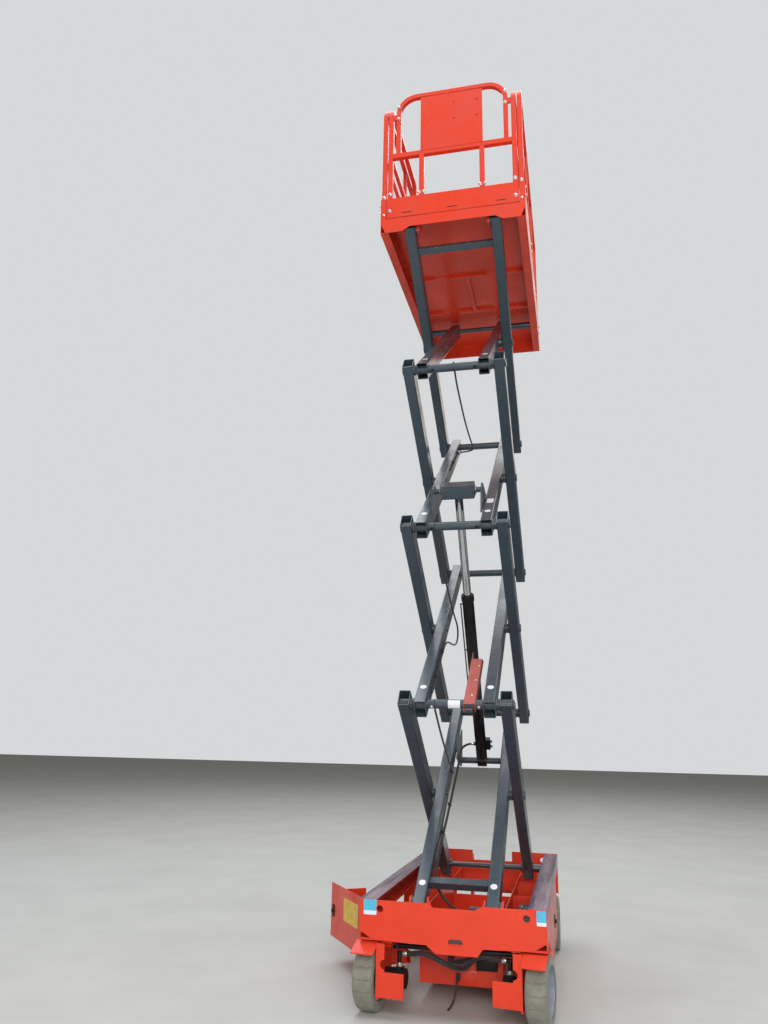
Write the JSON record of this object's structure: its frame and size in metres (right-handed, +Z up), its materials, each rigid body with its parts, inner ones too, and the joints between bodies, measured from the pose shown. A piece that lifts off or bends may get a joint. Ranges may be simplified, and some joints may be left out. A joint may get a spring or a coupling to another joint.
{
  "type": "scissor lift",
  "caption": "Self-propelled scissor lift with a stack of crossed arms, a railed platform, a sliding deck extension and swing-out trays.",
  "frame": {"origin": "on the floor, below the middle of the whole machine's outer box as it stands", "axes": "+X to the right and +Y to the back, seen from the steered end; +Z up"},
  "size_m": [1.6588, 2.597, 6.6707],
  "materials": {
    "red_paint": "gloss",
    "slate_paint": "satin",
    "black_paint": "satin",
    "chrome_rod": "polished",
    "grey_tyre": "matte",
    "grey_rim": "satin",
    "black_rubber": "matte",
    "battery_case": "matte"
  },
  "bodies": {
    "chassis": {"chassis_frame": "red_paint", "front_plate": "red_paint", "rear_plate": "red_paint", "ladder": "red_paint", "steering_cylinder": "black_paint", "valve_block": "slate_paint", "left_motor_hose": "black_rubber", "right_motor_hose": "black_rubber", "lift_hose_lower": "black_rubber", "ground_strap": "black_rubber"},
    "left_tray_body": {"left_tray": "red_paint", "hydraulic_unit": "black_paint"},
    "right_tray_body": {"right_tray": "red_paint", "battery_pack": "battery_case"},
    "left_steer": {"left_yoke": "red_paint", "left_drive_motor": "black_paint"},
    "right_steer": {"right_yoke": "red_paint", "right_drive_motor": "black_paint"},
    "steer_rod": {"steering_rod": "chrome_rod"},
    "front_left_wheel": {"front_left_tyre": "grey_tyre", "front_left_rim": "grey_rim"},
    "front_right_wheel": {"front_right_tyre": "grey_tyre", "front_right_rim": "grey_rim"},
    "rear_left_wheel": {"rear_left_tyre": "grey_tyre", "rear_left_rim": "grey_rim"},
    "rear_right_wheel": {"rear_right_tyre": "grey_tyre", "rear_right_rim": "grey_rim"},
    "left_guard": {"left_pothole_guard": "red_paint"},
    "right_guard": {"right_pothole_guard": "red_paint"},
    "inner_1": {"inner_arms_1": "slate_paint", "cross_shafts_1": "slate_paint", "lift_hose_upper": "black_rubber", "arm_cable_1": "black_rubber"},
    "outer_1": {"outer_arms_1": "slate_paint"},
    "lower_slide": {"lower_slide_shaft": "slate_paint"},
    "upper_slide": {"upper_slide_shaft": "slate_paint"},
    "inner_2": {"inner_arms_2": "slate_paint", "cross_shafts_2": "slate_paint", "safety_prop": "red_paint", "arm_cable_2": "black_rubber"},
    "outer_2": {"outer_arms_2": "slate_paint"},
    "inner_3": {"inner_arms_3": "slate_paint", "cross_shafts_3": "slate_paint", "arm_cable_3": "black_rubber"},
    "outer_3": {"outer_arms_3": "slate_paint"},
    "inner_4": {"inner_arms_4": "slate_paint", "cross_shafts_4": "slate_paint"},
    "outer_4": {"outer_arms_4": "slate_paint"},
    "cylinder_barrel": {"lift_barrel": "black_paint"},
    "cylinder_rod": {"lift_rod": "chrome_rod", "rod_head_beam": "slate_paint"},
    "platform": {"platform_deck": "red_paint", "platform_fascia": "red_paint", "guard_rails": "red_paint", "rear_rail": "red_paint"},
    "gate": {"entry_gate": "red_paint"},
    "extension": {"extension_deck": "red_paint", "extension_rails": "red_paint", "front_guard": "red_paint", "front_panel": "red_paint"}
  },
  "joints": [
    {"name": "lift", "type": "hinge", "parent": "chassis", "child": "inner_1", "pos_m": [0.24, -0.962, 0.582], "axis": [1, 0, 0], "range_deg": [-31.9, 23], "deforming": ["lift_hose_lower", "lift_hose_upper"]},
    {"name": "cross_1", "type": "hinge", "parent": "inner_1", "child": "outer_1", "pos_m": [0.24, -0.11125, 1.18883], "axis": [1, 0, 0], "range_deg": [-46, 63.8], "deforming": ["arm_cable_1"]},
    {"name": "near_1", "type": "hinge", "parent": "outer_1", "child": "inner_2", "pos_m": [0.24, -0.962, 1.79567], "axis": [1, 0, 0], "range_deg": [-63.8, 46]},
    {"name": "cross_2", "type": "hinge", "parent": "inner_2", "child": "outer_2", "pos_m": [0.24, -0.11125, 2.4025], "axis": [1, 0, 0], "range_deg": [-46, 63.8], "deforming": ["arm_cable_2"]},
    {"name": "near_2", "type": "hinge", "parent": "outer_2", "child": "inner_3", "pos_m": [0.24, -0.962, 3.00934], "axis": [1, 0, 0], "range_deg": [-63.8, 46]},
    {"name": "cross_3", "type": "hinge", "parent": "inner_3", "child": "outer_3", "pos_m": [0.24, -0.11125, 3.61617], "axis": [1, 0, 0], "range_deg": [-46, 63.8], "deforming": ["arm_cable_3"]},
    {"name": "near_3", "type": "hinge", "parent": "outer_3", "child": "inner_4", "pos_m": [0.24, -0.962, 4.22301], "axis": [1, 0, 0], "range_deg": [-63.8, 46]},
    {"name": "cross_4", "type": "hinge", "parent": "inner_4", "child": "outer_4", "pos_m": [0.24, -0.11125, 4.82984], "axis": [1, 0, 0], "range_deg": [-46, 63.8]},
    {"name": "platform_level", "type": "hinge", "parent": "outer_4", "child": "platform", "pos_m": [0.24, -0.962, 5.43668], "axis": [1, 0, 0], "range_deg": [-31.9, 23]},
    {"name": "lower_slide_level", "type": "hinge", "parent": "outer_1", "child": "lower_slide", "pos_m": [0.24, 0.7395, 0.582], "axis": [1, 0, 0], "range_deg": [-31.9, 23]},
    {"name": "upper_slide_level", "type": "hinge", "parent": "inner_4", "child": "upper_slide", "pos_m": [0.24, 0.7395, 5.43668], "axis": [1, 0, 0], "range_deg": [-23, 31.9]},
    {"name": "cylinder_foot", "type": "hinge", "parent": "inner_1", "child": "cylinder_barrel", "pos_m": [0.24, 0.53814, 1.40637], "axis": [1, 0, 0], "range_deg": [-47.84, 66.35], "deforming": ["lift_hose_upper"]},
    {"name": "cylinder_stroke", "type": "slide", "parent": "cylinder_barrel", "child": "cylinder_rod", "axis": [0, -0.5668, 0.8239], "range_m": [-0.77836, 0.5612]},
    {"name": "steer_left", "type": "hinge", "parent": "chassis", "child": "left_steer", "pos_m": [-0.16, -1.072, 0.4], "axis": [0, 0, 1], "range_deg": [-53, 67], "deforming": ["left_motor_hose"]},
    {"name": "steer_right", "type": "hinge", "parent": "chassis", "child": "right_steer", "pos_m": [0.64, -1.072, 0.4], "axis": [0, 0, 1], "range_deg": [-53, 67], "deforming": ["right_motor_hose"]},
    {"name": "steer_rod_slide", "type": "slide", "parent": "chassis", "child": "steer_rod", "axis": [1, 0, 0], "range_m": [-0.15202, 0.12025]},
    {"name": "front_left_roll", "type": "hinge", "parent": "left_steer", "child": "front_left_wheel", "pos_m": [-0.26422, -1.0592, 0.1905], "axis": [0.9925, -0.1219, 0], "continuous": true},
    {"name": "rear_left_roll", "type": "hinge", "parent": "chassis", "child": "rear_left_wheel", "pos_m": [-0.265, 0.783, 0.1905], "axis": [1, 0, 0], "continuous": true},
    {"name": "left_guard_fold", "type": "hinge", "parent": "chassis", "child": "left_guard", "pos_m": [-0.289, -0.062, 0.15], "axis": [0, -1, 0], "range_deg": [0, 75]},
    {"name": "front_right_roll", "type": "hinge", "parent": "right_steer", "child": "front_right_wheel", "pos_m": [0.74422, -1.0848, 0.1905], "axis": [0.9925, -0.1219, 0], "continuous": true},
    {"name": "rear_right_roll", "type": "hinge", "parent": "chassis", "child": "rear_right_wheel", "pos_m": [0.745, 0.783, 0.1905], "axis": [1, 0, 0], "continuous": true},
    {"name": "right_guard_fold", "type": "hinge", "parent": "chassis", "child": "right_guard", "pos_m": [0.769, -0.062, 0.15], "axis": [0, 1, 0], "range_deg": [0, 75]},
    {"name": "left_tray_swing", "type": "hinge", "parent": "chassis", "child": "left_tray_body", "pos_m": [-0.308, -0.787, 0.3], "axis": [0, 0, 1], "range_deg": [-35.4, 54.6]},
    {"name": "right_tray_swing", "type": "hinge", "parent": "chassis", "child": "right_tray_body", "pos_m": [0.788, -0.787, 0.3], "axis": [0, 0, -1], "range_deg": [0, 90]},
    {"name": "gate_swing", "type": "hinge", "parent": "platform", "child": "gate", "pos_m": [-0.278, 1.158, 6.02068], "axis": [0, 0, -1], "range_deg": [0, 90]},
    {"name": "extension_slide", "type": "slide", "parent": "platform", "child": "extension", "axis": [0, -1, 0], "range_m": [0, 0.9]}
  ],
  "couplings": [
    {"joint": "cross_1", "follows": "lift", "ratio": -2},
    {"joint": "near_1", "follows": "lift", "ratio": 2},
    {"joint": "cross_2", "follows": "lift", "ratio": -2},
    {"joint": "near_2", "follows": "lift", "ratio": 2},
    {"joint": "cross_3", "follows": "lift", "ratio": -2},
    {"joint": "near_3", "follows": "lift", "ratio": 2},
    {"joint": "cross_4", "follows": "lift", "ratio": -2},
    {"joint": "platform_level", "follows": "lift", "ratio": 1},
    {"joint": "lower_slide_level", "follows": "lift", "ratio": 1},
    {"joint": "upper_slide_level", "follows": "lift", "ratio": -1},
    {"joint": "cylinder_foot", "follows": "lift", "ratio": -2.08},
    {"joint": "cylinder_stroke", "follows": "lift", "m_per_rad": 1.398},
    {"joint": "steer_right", "follows": "steer_left", "ratio": 1},
    {"joint": "steer_rod_slide", "follows": "steer_left", "m_per_rad": -0.13}
  ]
}
